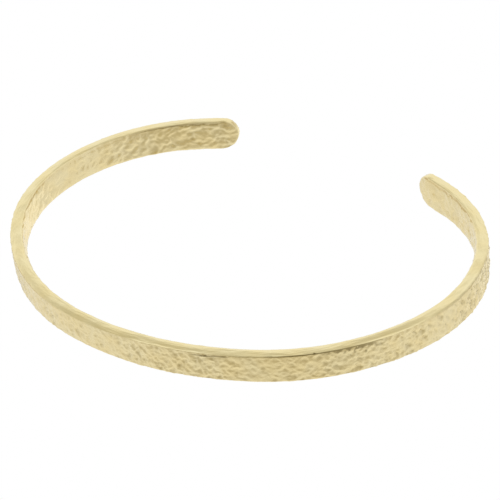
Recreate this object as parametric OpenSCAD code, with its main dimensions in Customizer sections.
// Hammered open cuff bangle: one flat metal strip, bent on its edge into an
// open oval. It lies on its lower edge, with the gap between its ends at +Y.

/* [Bangle] */
// Width over the outside, from side to side
bangle_w = 63.8; // [58:0.1:70]

/* [Strip] */
// Height of the strip at the middle of its length
strip_h = 3.55; // [3:0.05:5]
// Height of the strip at its two ends, which are hammered a little wider
end_h = 4.15; // [3.5:0.05:6]
// Thickness of the strip at the middle of its length
strip_t = 1.7; // [1.2:0.05:2]
// Flat along the outer corners, where their sharpness is taken off
outer_flat = 0.12; // [0.05:0.01:0.3]
// Flat along the inner corners, across the strip's thickness
inner_flat = 0.28; // [0.05:0.01:0.4]
// How much thinner the two ends are, taken off their inner side
taper = 0.15; // [0:0.05:0.3]
// How much thinner again the last few millimetres are
tip_fall = 0.75; // [0:0.05:0.8]

/* [Hammer marks] */
// Depth of the deepest marks
mark_depth = 0.16; // [0.02:0.01:0.2]
// Distance from one mark to the next
mark_pitch = 1.15; // [0.9:0.05:2]

/* [Hidden] */

// Bends of the strip's middle line, in order from its left end to its right
// end, all to the left. The radii are then scaled to give bangle_w.
// Columns: bend radius, turn in degrees.
RADIUS = 0;
TURN = 1;
bends = [
    [40.0,  8.3],  // left end
    [20.5, 92.0],  // left side
    [30.0, 48.0],  // front, left of the middle
    [41.0, 35.5],  // front
    [26.0, 41.0],  // front, right of the middle
    [19.5, 72.0],  // right side
    [22.5, 31.9],  // right end
];

// Fineness of the faces
strip_step = 0.62;   // along the strip
face_rows = 6;       // facets over the height of a hammered face
round_steps = 8;     // facets over a quarter turn of a rounded end

INNER_FALL = 2;      // height of an inner corner's flat over its width
TIP_REACH = 4;       // length of strip that tip_fall thins at each tip

// The hammer marks are shallow bowls on a jittered grid, one in each cell
MARK_SEED = 41;
mark_reach = 0.95;   // radius of a bowl, in cells
mark_slant = 0.55;   // lean of the grid, so that the marks run diagonally
mark_rows = ceil(end_h / mark_pitch) + 5;

// Sum of the first n values of a list
function sum_first(v, n) = n == 0 ? 0 : v[n - 1] + sum_first(v, n - 1);

// Step across a bend that starts on a heading
function bend_step(r, heading, turn) =
    r * [sin(heading + turn) - sin(heading), cos(heading) - cos(heading + turn)];

turns = [for (b = bends) b[TURN]];
headings = [for (i = [0 : len(bends)]) sum_first(turns, i)];
function bend_start(i, k) = i == 0 ? [0, 0] :
    bend_start(i - 1, k) + bend_step(k * bends[i - 1][RADIUS], headings[i - 1], turns[i - 1]);

// Where the middle line is, and its heading, at a share of one bend
function bend_point(i, share, k) =
    bend_start(i, k) + bend_step(k * bends[i][RADIUS], headings[i], share * turns[i]);

// The line between the two ends gives the +X direction
gap_line = bend_start(len(bends), 1);
gap_angle = atan2(gap_line.y, gap_line.x);
function unturn(p) = [p.x * cos(gap_angle) + p.y * sin(gap_angle),
                      p.y * cos(gap_angle) - p.x * sin(gap_angle)];

// Scale of the bends that makes the bangle its stated width
SHARES = [0 : 0.02 : 1];
plan_x = [for (i = [0 : len(bends) - 1], share = SHARES) unturn(bend_point(i, share, 1)).x];
plan_k = (bangle_w - strip_t) / (max(plan_x) - min(plan_x));

lengths = [for (b = bends) plan_k * b[RADIUS] * b[TURN] * PI / 180];
starts = [for (i = [0 : len(bends)]) sum_first(lengths, i)];
strip_len = starts[len(bends)];

// Which bend a distance along the strip is on
function bend_at(s, i = 0) = (i == len(bends) - 1 || s < starts[i + 1]) ? i : bend_at(s, i + 1);

// Place of a point: s along the strip, off outwards from the middle line, z up
function place(s, off, z) =
    let (i = bend_at(s),
         share = (s - starts[i]) / lengths[i],
         a = headings[i] + share * turns[i],
         p = unturn(bend_point(i, share, plan_k) + off * [sin(a), -cos(a)]))
    [p.x, p.y, z];

// Jitter and depth of the marks, by cell
mark_columns = ceil(strip_len / mark_pitch) + mark_rows + 4;
cells = 2 * mark_columns * mark_rows;
jitter_s = rands(-0.42, 0.42, cells, MARK_SEED);
jitter_z = rands(-0.42, 0.42, cells, MARK_SEED + 1);
depth_share = rands(0.35, 1, cells, MARK_SEED + 2);

// Depth of the hammering at one point of a face: side 0 is outside, 1 inside
function bowl(u, v, column, row, side) =
    let (cell = (side * mark_columns + column) * mark_rows + row,
         du = u - column - 0.5 - jitter_s[cell],
         dv = v - row - 0.5 - jitter_z[cell])
    depth_share[cell] * max(0, 1 - (du * du + dv * dv) / (mark_reach * mark_reach));
function hammering(s, z, side) =
    let (v = z / mark_pitch + 2,
         u = s / mark_pitch + 2 + mark_slant * v,
         column = floor(u),
         row = floor(v))
    mark_depth * max([for (i = [-1 : 1], j = [-1 : 1]) bowl(u, v, column + i, row + j, side)]);

// Height of the strip and the rounding of its ends
round_r = end_h / 2;
half_len = strip_len / 2;
function height_at(s) =
    let (v = min(1, abs(s - half_len) / (half_len - round_r)))
    strip_h + (end_h - strip_h) * v * v;

// Stations along the strip: [distance, lower edge, upper edge, thickness]
round_angles = [for (i = [1 : round_steps]) 90 * i / round_steps];
function round_station(s, a, t) = [s, round_r * (1 - sin(a)), round_r * (1 + sin(a)), t];
plain_count = ceil((strip_len - 2 * round_r) / strip_step);
stations = [
    for (a = round_angles) round_station(
        round_r * (1 - cos(a)), a, a == round_angles[0] ? strip_t - 2 * outer_flat : strip_t),
    for (i = [1 : plain_count - 1])
        let (s = round_r + (strip_len - 2 * round_r) * i / plain_count)
        [s, 0, height_at(s), strip_t],
    for (i = [round_steps - 1 : -1 : 0])
        let (a = round_angles[i])
        round_station(strip_len - round_r * (1 - cos(a)), a,
            i == 0 ? strip_t - 2 * outer_flat : strip_t),
];

// Heights of the rows of points on one face, between the flats at its edges
function face_zs(low, high, flat) =
    [for (j = [0 : face_rows]) low + flat + (high - low - 2 * flat) * j / face_rows];

// How much thinner the strip is at a distance along it
function thinner(s) =
    let (from_tip = min(s, strip_len - s))
    taper * pow(1 - from_tip / half_len, 2)
        + tip_fall * pow(max(0, 1 - from_tip / TIP_REACH), 2);

// One ring of points round the strip: up the outside, over the upper edge,
// down the inside and back under the lower edge
function ring(st) =
    let (s = st[0],
         low = st[1],
         high = st[2],
         half_t = st[3] / 2,
         inner = thinner(s) - half_t,
         fall = min(INNER_FALL * inner_flat, (high - low) / 3),
         inside = face_zs(low, high, fall))
    [
        for (z = face_zs(low, high, outer_flat)) place(s, half_t - hammering(s, z, 0), z),
        place(s, half_t - outer_flat, high),
        place(s, inner + inner_flat, high),
        for (j = [face_rows : -1 : 0]) place(s, inner + hammering(s, inside[j], 1), inside[j]),
        place(s, inner + inner_flat, low),
        place(s, half_t - outer_flat, low),
    ];

ring_size = 2 * face_rows + 6;
rings = [for (st = stations) each ring(st)];
last_ring = (len(stations) - 1) * ring_size;

// The origin is at the middle of the bangle's box, on its lower edge
middle = [for (axis = [0 : 1])
    let (v = [for (p = rings) p[axis]])
    (min(v) + max(v)) / 2];

module cuff() {
    color([0.86, 0.78, 0.56])
    polyhedron(
        points = [for (p = rings) [p.x - middle.x, p.y - middle.y, p.z]],
        faces = [
            [for (k = [ring_size - 1 : -1 : 0]) k],
            for (i = [0 : len(stations) - 2], k = [0 : ring_size - 1], half = [0 : 1])
                let (a = i * ring_size + k,
                     b = i * ring_size + (k + 1) % ring_size,
                     c = b + ring_size,
                     d = a + ring_size)
                half == 0 ? [a, b, c] : [a, c, d],
            [for (k = [0 : ring_size - 1]) last_ring + k],
        ]);
}

cuff();
